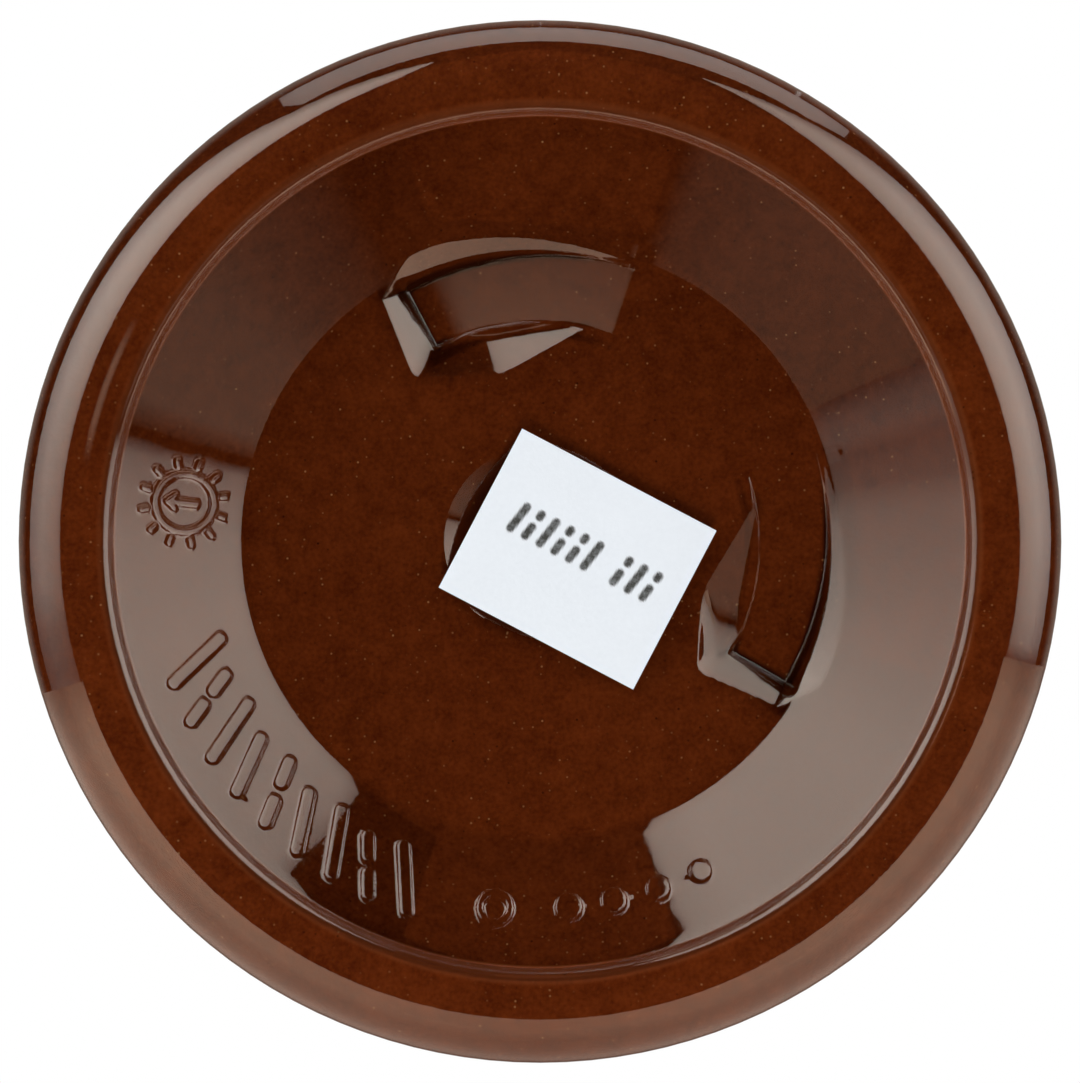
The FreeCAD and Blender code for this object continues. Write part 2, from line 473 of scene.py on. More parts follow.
butterLook = {
    "dark": (0.072, 0.0100, 0.0009, 1),
    "light": (0.150, 0.0275, 0.0046, 1),
    "paleSpeck": (0.32, 0.15, 0.06, 1),
    "darkSpeck": (0.022, 0.004, 0.0005, 1),
    "patches": [(9.0, 1.6, 3.0), (1.6, 2.2, 8.0), (0.35, 2.6, 1.0)],  # size, contrast and seed
    "patchRange": (0.22, 0.78),
    "paintedDimSide": 0.78,  # painted light: the colour is scaled by this on the -Y side and by the next value on the +Y side, over the span given below, so the paste is painted paler towards +Y as if more light fell on that side
    "paintedBrightSide": 0.98,
    "paintedLightSpan": 40.0,
    "shade": (0.008, 0.0015, 0.0004, 1),
    "shadeStrength": 0.88,
    "paleGrains": (0.7, 0.11, 0.2),  # spacing, size and seed
    "darkGrains": (0.9, 0.12, 0.6),
    "glow": (0.36, 0.098, 0.030, 1),
    "glowFrom": (33.8, 34.05),
    "glowRadius": 34.35,
    "glowFade": 0.992,
    "glowTop": (3.2, 2.6),
    "glowSide": (0.25, 0.97),  # the way round the ring where it is strongest
    "glowSpan": 35.0,
    "glowSwing": (-0.6, 0.7),
    "glowWeakest": 0.5,
}


def specks(place, cell, size, seed):
    # small round grains scattered through the paste, each of its own strength
    where = place("ShaderNodeTexCoord")
    moved = place("ShaderNodeVectorMath", {0: where.outputs["Object"], 1: (seed, 0.37 * seed, 0.71 * seed)})
    grains = place("ShaderNodeTexVoronoi", {"Vector": moved.outputs[0], "Scale": 1 / (cell * mm)})
    near = place("ShaderNodeMapRange", {"Value": grains.outputs["Distance"], "From Min": size / cell,
                                        "From Max": 0.4 * size / cell})
    colour = place("ShaderNodeSeparateColor", {"Color": grains.outputs["Color"]})
    strength = place("ShaderNodeMath", {0: colour.outputs["Red"], 1: 2.6}, operation="POWER")
    shown = place("ShaderNodeMath", {0: near.outputs[0], 1: strength.outputs[0]}, operation="MULTIPLY")
    return shown.outputs[0]


def ringGlow(place):
    # light gathered by the thick flank of the standing ring warms the paste behind it
    look = butterLook
    where = place("ShaderNodeTexCoord")
    parts = place("ShaderNodeSeparateXYZ", {"Vector": where.outputs["Object"]})
    flat = place("ShaderNodeCombineXYZ", {"X": parts.outputs["X"], "Y": parts.outputs["Y"]})
    radius = place("ShaderNodeVectorMath", {0: flat.outputs[0]}, operation="LENGTH")
    inside = place("ShaderNodeMapRange", {"Value": radius.outputs["Value"],
                                          "From Min": look["glowFrom"][0] * mm,
                                          "From Max": look["glowFrom"][1] * mm})
    past = place("ShaderNodeMath", {0: radius.outputs["Value"], 1: look["glowRadius"] * mm},
                 operation="SUBTRACT")
    fade = place("ShaderNodeMapRange", {"Value": past.outputs[0], "From Min": 0.0,
                                        "From Max": look["glowFade"] * mm, "To Min": 1.0, "To Max": 0.0},
                 interpolation_type="SMOOTHSTEP")
    low = place("ShaderNodeMapRange", {"Value": parts.outputs["Z"], "From Min": look["glowTop"][0] * mm,
                                       "From Max": look["glowTop"][1] * mm})
    span = look["glowSpan"] * mm
    way = (look["glowSide"][0] / span, look["glowSide"][1] / span, 0)
    side = place("ShaderNodeVectorMath", {0: where.outputs["Object"], 1: way}, operation="DOT_PRODUCT")
    swing = place("ShaderNodeMapRange", {"Value": side.outputs["Value"], "From Min": look["glowSwing"][0],
                                         "From Max": look["glowSwing"][1], "To Min": look["glowWeakest"],
                                         "To Max": 1.0})
    mask = inside.outputs[0]
    for part in (fade, low, swing):
        mask = place("ShaderNodeMath", {0: mask, 1: part.outputs[0]}, operation="MULTIPLY").outputs[0]
    return mask


def butterPaste(name, gloss, sheen, inRing):
    material, place = newMaterial(name)
    look = butterLook
    broad, middling, grain = (mottle(place, *patch) for patch in look["patches"])
    both = place("ShaderNodeMath", {0: middling, 1: grain}, operation="ADD")
    allThree = place("ShaderNodeMath", {0: both.outputs[0], 1: broad}, operation="ADD")
    third = place("ShaderNodeMath", {0: allThree.outputs[0], 1: 1 / 3}, operation="MULTIPLY")
    spread = place("ShaderNodeMapRange", {"Value": third.outputs[0], "From Min": look["patchRange"][0],
                                          "From Max": look["patchRange"][1]})
    colour = blendColours(place, spread.outputs[0], look["dark"], look["light"])
    where = place("ShaderNodeTexCoord")
    side = place("ShaderNodeSeparateXYZ", {"Vector": where.outputs["Object"]})
    # painted light: the paste's colour is scaled up towards +Y, one side painted paler as if more light fell
    # there
    paintedSideLight = place("ShaderNodeMapRange", {"Value": side.outputs["Y"], "From Min": -look["paintedLightSpan"] * mm,
                                         "From Max": look["paintedLightSpan"] * mm, "To Min": look["paintedDimSide"],
                                         "To Max": look["paintedBrightSide"]})
    scaled = place("ShaderNodeVectorMath", {0: colour, "Scale": paintedSideLight.outputs[0]}, operation="SCALE")
    walled = place("ShaderNodeAttribute", attribute_name="shade")
    shade = place("ShaderNodeMath", {0: walled.outputs["Fac"], 1: look["shadeStrength"]},
                  operation="MULTIPLY")
    colour = blendColours(place, shade.outputs[0], scaled.outputs[0], look["shade"])
    if inRing:
        colour = blendColours(place, ringGlow(place), colour, look["glow"])
    colour = blendColours(place, specks(place, *look["paleGrains"]), colour, look["paleSpeck"])
    colour = blendColours(place, specks(place, *look["darkGrains"]), colour, look["darkSpeck"])
    bump = place("ShaderNodeBump", {"Strength": 0.15, "Distance": 0.0004, "Height": middling})
    body = place("ShaderNodeBsdfPrincipled", {"Base Color": colour, "Roughness": gloss,
                                              "Specular IOR Level": sheen, "Normal": bump.outputs[0]})
    place("ShaderNodeOutputMaterial", {"Surface": body.outputs[0]})
    return material


def mouldedLid():
    material, place = newMaterial("mouldedLidPlastic")
    broad = mottle(place, 12.0, 1.2, 5.0)
    fine = mottle(place, 0.5, 1.5, 2.0)
    colour = blendColours(place, broad, (0.54, 0.53, 0.50, 1), (0.58, 0.57, 0.54, 1))
    rough = place("ShaderNodeMapRange", {"Value": fine, "To Min": 0.36, "To Max": 0.48})
    bump = place("ShaderNodeBump", {"Strength": 0.12, "Distance": 0.0002, "Height": fine})
    body = place("ShaderNodeBsdfPrincipled", {"Base Color": colour, "Roughness": rough.outputs[0],
                                              "Normal": bump.outputs[0]})
    place("ShaderNodeOutputMaterial", {"Surface": body.outputs[0]})
    return material


def labelPaper():
    material, place = newMaterial("labelPaper")
    fibre = mottle(place, 0.35, 1.6, 4.0)
    broad = mottle(place, 6.0, 1.4, 6.0)
    both = place("ShaderNodeMath", {0: fibre, 1: broad}, operation="MULTIPLY")
    paper = blendColours(place, both.outputs[0], (0.84, 0.885, 0.935, 1), (0.77, 0.815, 0.865, 1))
    printed = place("ShaderNodeAttribute", attribute_name="ink")
    wear = place("ShaderNodeMath", {0: fibre, 1: 0.4, 2: 0.74}, operation="MULTIPLY_ADD", use_clamp=True)
    ink = place("ShaderNodeMath", {0: printed.outputs["Fac"], 1: wear.outputs[0]}, operation="MULTIPLY")
    colour = blendColours(place, ink.outputs[0], paper, (0.045, 0.045, 0.04, 1))
    bump = place("ShaderNodeBump", {"Strength": 0.3, "Distance": 0.00004, "Height": fibre})
    body = place("ShaderNodeBsdfPrincipled", {"Base Color": colour, "Roughness": 0.62,
                                              "Specular IOR Level": 0.3, "Normal": bump.outputs[0]})
    place("ShaderNodeOutputMaterial", {"Surface": body.outputs[0]})
    return material


marks = {
    "height": 0.34,
    "edge": 0.34,
    "coneFrom": 25.0,  # the marks lie on the cone between these radii
    "coneTo": 33.0,
    "fineFrom": 24.5,
    "fineTo": 33.4,
    "fineReaches": (1.0, 0.55, 0.34, 0.23),
    "farOff": 9.0,
    "farTurn": 11.0,
    "dialTurn": -173.8,
    "dialRadius": 28.5,
    "dialSize": 2.3,
    "dialBand": 0.62,
    "toothCount": 12,
    "toothFoot": 2.95,
    "toothTip": 3.4,
    "toothHalf": 0.27,
    "pointerFoot": -0.9,
    "pointerTip": 1.2,
    "pointerHalf": 0.34,
    "barbTip": 1.35,
    "barbFoot": 0.75,
    "barbSide": 0.5,
    "barbHalf": 0.26,
    "barsFrom": -199.5,
    "barsTo": -248.5,
    "barCount": 9,
    "barHalf": 0.55,
    "barFeet": (26.7, 27.3),  # by turns
    "barHead": 31.2,
    "barLean": (2.6, -1.6),  # degrees that the foot and the head stand off the bar's own place
    "barGap": (0.33, 0.65),  # every third bar stops and goes on at these shares
    "ringTurn": -263.0,
    "ringRadius": 29.4,
    "ringSize": 1.2,
    "ringBand": 0.6,
    "dotsFrom": -274.5,
    "dotsTo": -296.0,
    "dotCount": 4,
    "dotRadius": 29.2,
    "dotSize": 1.1,
    "dotShrink": 0.08,
}


def conePlace(turn, radius):
    turn = math.radians(turn)
    return Vector((radius * math.cos(turn), radius * math.sin(turn)))


def spreadTurns(first, last, count):
    return [first + (last - first) * number / (count - 1) for number in range(count)]


def markShapes():
    # plain moulded marks: a toothed dial with a pointer, grip bars, one small ring and a row of dots
    # each is start, end, half width and hollow width, with the clock angle of its start
    shapes = []
    centre = conePlace(marks["dialTurn"], marks["dialRadius"])
    out = centre.normalized()
    side = Vector((-out.y, out.x))
    shapes.append((centre, centre, marks["dialSize"], marks["dialBand"]))
    for number in range(marks["toothCount"]):
        angle = math.radians(360 / marks["toothCount"] * (number + 0.5))
        spoke = out * math.cos(angle) + side * math.sin(angle)
        foot = centre + spoke * marks["toothFoot"]
        shapes.append((foot, centre + spoke * marks["toothTip"], marks["toothHalf"], 0))
    foot = centre + out * marks["pointerFoot"]
    shapes.append((foot, centre + out * marks["pointerTip"], marks["pointerHalf"], 0))
    for way in (1, -1):
        foot = centre + out * marks["barbFoot"] + side * way * marks["barbSide"]
        shapes.append((centre + out * marks["barbTip"], foot, marks["barbHalf"], 0))
    for number, turn in enumerate(spreadTurns(marks["barsFrom"], marks["barsTo"], marks["barCount"])):
        foot = conePlace(turn + marks["barLean"][0], marks["barFeet"][number % 2])
        head = conePlace(turn + marks["barLean"][1], marks["barHead"])
        if number % 3 == 1:
            stop, restart = (foot.lerp(head, share) for share in marks["barGap"])
            shapes.append((foot, stop, marks["barHalf"], 0))
            shapes.append((restart, head, marks["barHalf"], 0))
        else:
            shapes.append((foot, head, marks["barHalf"], 0))
    ring = conePlace(marks["ringTurn"], marks["ringRadius"])
    shapes.append((ring, ring, marks["ringSize"], marks["ringBand"]))
    for number, turn in enumerate(spreadTurns(marks["dotsFrom"], marks["dotsTo"], marks["dotCount"])):
        dot = conePlace(turn, marks["dotRadius"])
        shapes.append((dot, dot, marks["dotSize"] - marks["dotShrink"] * number, 0))
    return [(*shape, clockAngle(shape[0].x, shape[0].y)) for shape in shapes]


def shapeGap(x, y, start, end, half, hollow):
    # distance from the edge of a rounded bar, below zero inside it; a hollow one is a ring of that width
    along = end - start
    spot = Vector((x, y)) - start
    share = min(max(spot.dot(along) / max(along.length_squared, 1e-9), 0.0), 1.0)
    gap = (spot - along * share).length - half
    return abs(gap) - hollow / 2 if hollow else gap


def markGap(shapes, x, y):
    turn = clockAngle(x, y)
    gap = marks["farOff"]
    for start, end, half, hollow, where in shapes:
        if turnBetween(turn, where) < marks["farTurn"]:
            gap = min(gap, shapeGap(x, y, start, end, half, hollow))
    return gap


def jarPath():
    # out from the middle of the base, up to the rim, then down the inside and back to the middle
    corners, walls, steps = jarCorners()
    inside = offsetCorners(corners, walls)
    bore = inside[-1][0]
    bead = jar["neckRadius"] + jar["beadReach"]
    beadTop = jar["beadLow"] + jar["beadHeight"]
    outside = corners[:-1] + [
        (jar["neckRadius"], jar["beadLow"], 0.0),
        (bead, jar["beadLow"], jar["beadRound"]),
        (bead, beadTop, jar["beadRound"]),
        (jar["neckRadius"], beadTop, 0.0),
        (jar["neckRadius"], jar["rimHeight"], jar["rimRound"]),
        (bore, jar["rimHeight"], jar["rimRound"]),
        (bore, jar["rimHeight"] - jar["lipDepth"], 0.0),
    ]
    outerSteps = steps + [jar["neckStep"]] * (len(outside) - len(steps) - 1)
    outerPath = roundedPath(outside, outerSteps, jar["outerArc"])
    innerSteps = [max(2.0 * step, 1.0) for step in steps]
    innerPath = roundedPath(inside, innerSteps, jar["innerArc"])
    lipFoot = jar["rimHeight"] - jar["lipDepth"] - 0.5
    innerPath = [point for point in innerPath if point.y < lipFoot]
    return outerPath, innerPath[::-1]


def makeJarShell():
    outerPath, innerPath = jarPath()
    path = outerPath + innerPath
    innerStart = len(outerPath)
    groundRing = next(number for number, point in enumerate(outerPath) if point.y <= 0.01)
    baseEnd = groundRing + 4  # a few rings past where the jar first stands on the ground
    shapes = markShapes()
    cone = Vector((jar["creaseHeight"] - jar["puntHeight"],
                   jar["puntRadius"] - jar["ringRadius"])).normalized()

    def nearPocket(radius, clock, position):
        return position <= baseEnd and aroundPocket(radius, clock, *pockets["fineMargins"])

    def nearWall(radius, clock, position):
        spot = conePlace(clock, radius)
        return nearPocket(radius, clock, position) and pocketSurface(spot.x, spot.y)[1]

    def nearMark(reach):
        def test(radius, clock, position):
            if position > baseEnd or not marks["fineFrom"] < radius < marks["fineTo"]:
                return False
            spot = conePlace(clock, radius)
            return abs(markGap(shapes, spot.x, spot.y)) < reach
        return test

    def lift(spot, position):
        if position >= innerStart and spot.z < jar["baseTop"]:
            return Vector((0, 0, pocketDepth(spot.x, spot.y, jar["baseWall"])))
        if position >= baseEnd:
            return Vector((0, 0, 0))
        radius = math.hypot(spot.x, spot.y)
        if marks["coneFrom"] < radius < marks["coneTo"]:
            half = marks["edge"] / 2
            raised = marks["height"] * between(half, -half, markGap(shapes, spot.x, spot.y))
            return Vector((cone.x * spot.x / radius, cone.x * spot.y / radius, -cone.y)) * raised
        return Vector((0, 0, pocketDepth(spot.x, spot.y)))

    disc = polarDisc(len(path), jar["sectors"])
    coarse, medium, fine, finest = (nearMark(reach) for reach in marks["fineReaches"])
    refine(disc, path, lambda *spot: nearPocket(*spot) or coarse(*spot))
    refine(disc, path, lambda *spot: nearPocket(*spot) or medium(*spot))
    refine(disc, path, lambda *spot: nearWall(*spot) or fine(*spot))
    refine(disc, path, finest)
    wrapDisc(disc, path, lift)
    shell = finishMesh("jarShell", disc)
    shell.data.materials.append(clearPlastic())
    return shell


butter = {
    "seat": 0.18,  # how far the paste reaches into the wall
    "arc": 12.0,
    "edgeRound": 1.2,
    "topStep": 1.2,
    "baseRings": 60,  # the base lies within so many rings of the middle
    "fineMargins": (1.5, 1.5, 4.0),
    "swirl": 0.7,
    "swirlTurns": 2.5,
    "swirlShares": (0.55, 0.35, 0.4),  # even, waved and rough
    "roughness": 0.12,
    "edgeFade": 6.0,
}


def makeButter():
    corners, walls, steps = jarCorners()
    seats = [wall - butter["seat"] for wall in walls]
    side = offsetCorners(corners, seats)
    edge = side[-1][0]
    level = butterHigh.z
    side[-1] = (edge, level, butter["edgeRound"])
    side.append((0.0, level, 0.0))
    path = roundedPath(side, steps + [butter["topStep"]], butter["arc"])
    topStart = next(number for number, point in enumerate(path) if point.y > level - 0.1)

    def lift(spot, position):
        if position >= topStart:
            radius = math.hypot(spot.x, spot.y)
            share = min(radius / edge, 1.0)
            wave = math.sin(math.atan2(spot.y, spot.x) * 2 + share * butter["swirlTurns"] * 2 * math.pi)
            rough = noise.noise(spot * butter["roughness"])
            fade = min((1 - share) * butter["edgeFade"], 1.0)
            even, waved, uneven = butter["swirlShares"]
            return Vector((0, 0, -butter["swirl"] * fade * (even - waved * wave - uneven * rough)))
        if spot.z < jar["baseTop"]:
            return Vector((0, 0, pocketDepth(spot.x, spot.y, jar["baseWall"] - butter["seat"])))
        return Vector((0, 0, 0))

    def nearPocket(radius, clock, position):
        return position < butter["baseRings"] and aroundPocket(radius, clock, *butter["fineMargins"])

    disc = polarDisc(len(path), jar["sectors"])
    refine(disc, path, nearPocket)
    wrapDisc(disc, path, lift)
    shadeLayer = disc.verts.layers.float.new("shade")
    for vert in disc.verts:
        if vert.co.z < jar["baseTop"]:
            vert[shadeLayer] = pocketShade(vert.co.x, vert.co.y)
    fill = finishMesh("butterFill", disc)
    fill.data.materials.append(butterPaste("butterAgainstJar", 0.6, 0.02, True))
    fill.data.materials.append(butterPaste("butterOpenTop", 0.28, 0.5, False))
    for face in fill.data.polygons:
        if face.center.z > (level - 2) * mm and face.normal.z > 0.5:
            face.material_index = 1
    return fill


lid = {
    "rimRest": jar["rimHeight"],
    "wall": 1.5,
    "edgeRound": 1.8,
    "lipRound": 0.4,
    "cornerRound": 0.5,
    "grooveDepth": 0.45,
    "grooveSlope": 0.4,
    "grooveRound": 0.2,
    "ribCount": 72,
    "ribRadius": 0.75,
    "ribFoot": 1.4,
    "ribHead": 2.6,
    "ribEnds": (0.7, 0.8),  # how far the ribs run out over the foot and the head
    "ribRings": 13,
    "ribSides": 12,
    "ribBluntness": 12.0,
    "ribTip": 0.12,
    "topPanel": 29.0,
    "topSlope": 1.2,
    "topRound": 1.0,
    "topRecess": 0.5,
    "step": 3.0,
    "sectors": 288,
}


def ribTree():
    # half-round grip ribs round the skirt
    tree = bpy.data.node_groups.new("gripRibs", "GeometryNodeTree")
    for label, kind in (("Ribs", "NodeSocketInt"), ("Skirt radius", "NodeSocketFloat"),
                        ("Rib radius", "NodeSocketFloat"), ("Foot", "NodeSocketFloat"),
                        ("Head", "NodeSocketFloat"), ("Finish", "NodeSocketMaterial")):
        tree.interface.new_socket(label, in_out="INPUT", socket_type=kind)
    tree.interface.new_socket("Geometry", in_out="OUTPUT", socket_type="NodeSocketGeometry")
    place = nodeTools(tree)
    given = place("NodeGroupInput")
    result = place("NodeGroupOutput")
    foot = place("ShaderNodeCombineXYZ", {"Z": given.outputs["Foot"]})
    head = place("ShaderNodeCombineXYZ", {"Z": given.outputs["Head"]})
    line = place("GeometryNodeCurvePrimitiveLine", {"Start": foot.outputs[0], "End": head.outputs[0]})
    pieces = place("GeometryNodeResampleCurve", {"Curve": line.outputs[0], "Count": lid["ribRings"]})
    share = place("GeometryNodeSplineParameter")
    fromMiddle = place("ShaderNodeMath", {0: share.outputs["Factor"], 1: 2.0, 2: -1.0},
                       operation="MULTIPLY_ADD")
    power = place("ShaderNodeMath", {0: fromMiddle.outputs[0], 1: lid["ribBluntness"]}, operation="POWER")
    taper = place("ShaderNodeMath", {0: 1.0, 1: power.outputs[0]}, operation="SUBTRACT")
    girth = place("ShaderNodeMath", {0: taper.outputs[0], 1: lid["ribTip"]}, operation="MAXIMUM")
    thick = place("ShaderNodeMath", {0: girth.outputs[0], 1: given.outputs["Rib radius"]},
                  operation="MULTIPLY")
    rod = place("GeometryNodeCurvePrimitiveCircle", {"Resolution": lid["ribSides"], "Radius": 1.0})
    rib = place("GeometryNodeCurveToMesh", {"Curve": pieces.outputs[0], "Profile Curve": rod.outputs[0],
                                            "Scale": thick.outputs[0], "Fill Caps": True})
    ring = place("GeometryNodeMeshCircle", {"Vertices": given.outputs["Ribs"],
                                            "Radius": given.outputs["Skirt radius"]})
    stand = place("GeometryNodeInstanceOnPoints", {"Points": ring.outputs[0], "Instance": rib.outputs[0]})
    real = place("GeometryNodeRealizeInstances", {"Geometry": stand.outputs[0]})
    smooth = place("GeometryNodeSetShadeSmooth", {"Geometry": real.outputs[0]})
    painted = place("GeometryNodeSetMaterial", {"Geometry": smooth.outputs[0],
                                                "Material": given.outputs["Finish"]})
    tree.links.new(painted.outputs[0], result.inputs["Geometry"])
    return tree


def grownFrom(name, tree, values):
    # runs a node tree on an empty mesh and keeps the result as a plain mesh
    holder = bpy.data.objects.new(name, bpy.data.meshes.new(name))
    bpy.context.scene.collection.objects.link(holder)
    modifier = holder.modifiers.new(name, "NODES")
    modifier.node_group = tree
    for item in tree.interface.items_tree:
        if item.in_out == "INPUT" and item.name in values:
            modifier[item.identifier] = values[item.name]
    view = holder.evaluated_get(bpy.context.evaluated_depsgraph_get())
    holder.data = bpy.data.meshes.new_from_object(view)
    holder.modifiers.clear()
    return holder


def joinInto(target, other):
    # both lie at the origin, so their meshes are simply added up
    mesh = bmesh.new()
    mesh.from_mesh(target.data)
    mesh.from_mesh(other.data)
    mesh.to_mesh(target.data)
    mesh.free()
    bpy.data.objects.remove(other)


def makeLid():
    outer = lidHigh.x
    inner = outer - lid["wall"]
    groove = outer - lid["grooveDepth"]
    low, high = lidLow.z, lidHigh.z
    grooveLow = low + lid["ribFoot"]
    grooveHigh = high - lid["ribHead"]
    corners = [
        (0.0, lid["rimRest"], 0.0),
        (inner, lid["rimRest"], lid["cornerRound"]),
        (inner, low, lid["lipRound"]),
        (outer, low, lid["lipRound"]),
        (outer, grooveLow, lid["grooveRound"]),
        (groove, grooveLow + lid["grooveSlope"], lid["grooveRound"]),
        (groove, grooveHigh - lid["grooveSlope"], lid["grooveRound"]),
        (outer, grooveHigh, lid["grooveRound"]),
        (outer, high, lid["edgeRound"]),
        (lid["topPanel"] + lid["topSlope"], high, lid["topRound"]),
        (lid["topPanel"], high - lid["topRecess"], lid["topRound"]),
        (0.0, high - lid["topRecess"], 0.0),
    ]
    path = roundedPath(corners, [lid["step"]] * (len(corners) - 1), jar["upperArc"])
    disc = polarDisc(len(path), lid["sectors"])
    wrapDisc(disc, path, lambda spot, position: Vector((0, 0, 0)))
    cap = finishMesh("lidShell", disc)
    cap.data.materials.append(mouldedLid())
    ribs = grownFrom("lidRibs", ribTree(), {
        "Ribs": lid["ribCount"],
        "Skirt radius": (outer - lid["ribRadius"]) * mm,
        "Rib radius": lid["ribRadius"] * mm,
        "Foot": (low + lid["ribFoot"] * lid["ribEnds"][0]) * mm,
        "Head": (high - lid["ribHead"] * lid["ribEnds"][1]) * mm,
        "Finish": cap.data.materials[0],
    })
    joinInto(cap, ribs)
    return cap


sticker = {
    "length": 17.5,
    "width": 14.3,
    "turn": 27.7,
    "cell": 0.13,
    "markHeight": 2.1,
    "markWidth": 0.66,
    "markLean": 0.2,
    "markSpacing": 1.32,
    "firstMark": -5.7,
    "markRise": -0.75,
    "code": "bhbhhb hbh",  # b is a whole bar, h one broken in two
    "brokenBar": (0.12, 0.42),  # how far its two parts reach from the ends
    "printBand": 2.0,
    "inkEdge": 0.08,
}


def printedMarks():
    # plain printed row of slanted bars, whole and broken, with a space before the last three
    height = sticker["markHeight"] / 2
    lean = sticker["markLean"]
    shortPart, longPart = sticker["brokenBar"]
    shapes = []
    for number, kind in enumerate(sticker["code"]):
        u = sticker["firstMark"] + number * sticker["markSpacing"]
        top = Vector((u + lean, -height))
        foot = Vector((u - lean, height))
        if kind == "b":
            shapes.append((top, foot))
        elif kind == "h":
            shapes.append((top, top.lerp(foot, shortPart)))
            shapes.append((foot.lerp(top, longPart), foot))
    rise = Vector((0, sticker["markRise"]))
    return [(start + rise, end + rise, sticker["markWidth"] / 2, 0) for start, end in shapes]


def makeSticker():
    middle = (stickerLow + stickerHigh) / 2
    across = round(sticker["length"] / sticker["cell"])
    up = round(sticker["width"] / sticker["cell"])
    shapes = printedMarks()
    sheet = bmesh.new()
    inkLayer = sheet.verts.layers.float.new("ink")
    turn = math.radians(sticker["turn"])
    rows = []
    for column in range(across + 1):
        row = []
        for line in range(up + 1):
            u = sticker["length"] * (column / across - 0.5)
            v = sticker["width"] * (line / up - 0.5)
            x = middle.x + u * math.cos(turn) - v * math.sin(turn)
            y = middle.y + u * math.sin(turn) + v * math.cos(turn)
            vert = sheet.verts.new((x, y, stickerLow.z))
            gap = 1.0
            if abs(v - sticker["markRise"]) < sticker["printBand"]:
                gap = min(shapeGap(u, v, *shape) for shape in shapes)
            vert[inkLayer] = between(sticker["inkEdge"], -sticker["inkEdge"], gap)
            row.append(vert)
        rows.append(row)
    for left, right in zip(rows, rows[1:]):
        for number in range(up):
            sheet.faces.new((left[number], right[number], right[number + 1], left[number + 1]))
    bmesh.ops.recalc_face_normals(sheet, faces=sheet.faces)
    grown = bmesh.ops.extrude_face_region(sheet, geom=sheet.faces[:])
    for item in grown["geom"]:
        if isinstance(item, bmesh.types.BMVert):
            item.co.z = stickerHigh.z
            item[inkLayer] = 0.0
    label = finishMesh("paperSticker", sheet, smooth=False)
    label.data.materials.append(labelPaper())
    return label


def glowMaterial(name, colour):
    material, place = newMaterial(name)
    strength = place("ShaderNodeAttribute", attribute_name="glow")
    lamp = place("ShaderNodeEmission", {"Color": colour, "Strength": strength.outputs["Fac"]})
    place("ShaderNodeOutputMaterial", {"Surface": lamp.outputs[0]})
    return material


studio = {
    "lampReach": 1.2,
    "boxColumns": 6,
    "boxLines": 20,
    "bandReach": 62.0,
    "bandTurns": (14.0, 163.0),
    "bandColumns": 38,
    "floorSide": 6.0,
    "floorFade": (0.2, 0.7),
    "cameraDistance": 1.0,
    "sensorWidth": 36.0,
    "frameToJar": 1.03855,  # the view takes in a little more than the jar
}


def aim(turn, tilt):
    # turn runs round the jar from +X, tilt up from straight below it
    turn, tilt = math.radians(turn), math.radians(tilt)
    return Vector((math.sin(tilt) * math.cos(turn), math.sin(tilt) * math.sin(turn), -math.cos(tilt)))


def hideFromCamera(lamp, material):
    lamp.data.materials.append(material)
    lamp.visible_camera = False
    lamp.visible_shadow = False


def glowSheet(name, rows, material):
    # rows of (place, glow) joined into one lit sheet
    panel = bmesh.new()
    glowLayer = panel.verts.layers.float.new("glow")
    grid = []
    for row in rows:
        line = []
        for place, glow in row:
            vert = panel.verts.new(place)
            vert[glowLayer] = glow
            line.append(vert)
        grid.append(line)
    for left, right in zip(grid, grid[1:]):
        for number in range(len(left) - 1):
            panel.faces.new((left[number], right[number], right[number + 1], left[number + 1]))
    data = bpy.data.meshes.new(name)
    panel.to_mesh(data)
    panel.free()
    box = bpy.data.objects.new(name, data)
    bpy.context.scene.collection.objects.link(box)
    hideFromCamera(box, material)
    return box


def readOff(stations, position):
    for (start, low), (end, high) in zip(stations, stations[1:]):
        if position <= end:
            return low + (high - low) * (position - start) / (end - start)
    return stations[-1][1]


evenGlow = [(0.0, 1.0), (1.0, 1.0)]
softEdges = [(0.0, 0.0), (0.3, 1.0), (0.7, 1.0), (1.0, 0.0)]
vignette = [(0.0, 0.45), (0.05, 0.75), (0.2, 0.92), (0.36, 0.98), (0.52, 1.0), (0.65, 0.84), (0.8, 0.62),
            (1.0, 0.36)]


def curvedSoftbox(name, stations, profile, material):
    # stations: turn, lowest tilt, highest tilt, glow; the profile shares the glow out from low to high
    columns, lines = studio["boxColumns"], studio["boxLines"]
    rows = []
    for start, end in zip(stations, stations[1:]):
        for step in range(columns + (end is stations[-1])):
            turn, low, high, glow = (a + (b - a) * step / columns for a, b in zip(start, end))
            shares = [line / lines for line in range(lines + 1)]
            rows.append([(aim(turn, low + (high - low) * share) * studio["lampReach"],
                          glow * readOff(profile, share)) for share in shares])
    glowSheet(name, rows, material)


def tableBand(material):
    # warm light off the table top, close below the jar: brighter near the base and at both sides
    heightGlow = [(-25.3, 1.5), (-23.5, 1.8), (-9, 1.7), (0, 1.15), (10, 0.95), (22, 0.8), (45, 0.3),
                  (60, 0.0)]
    sideGlow = [(14, 0.9), (20, 1.5), (50, 1.45), (90, 1.0), (130, 1.5), (156, 1.75), (163, 0.9)]
    rows = []
    for turn in spreadTurns(*studio["bandTurns"], studio["bandColumns"]):
        x, y = conePlace(turn, studio["bandReach"])
        rows.append([(Vector((x, y, z)) * mm, glow * readOff(sideGlow, turn)) for z, glow in heightGlow])
    band = glowSheet("tableBand", rows, material)
    band.visible_diffuse = False  # it shows in the plastic and leaves no bright patch on the floor


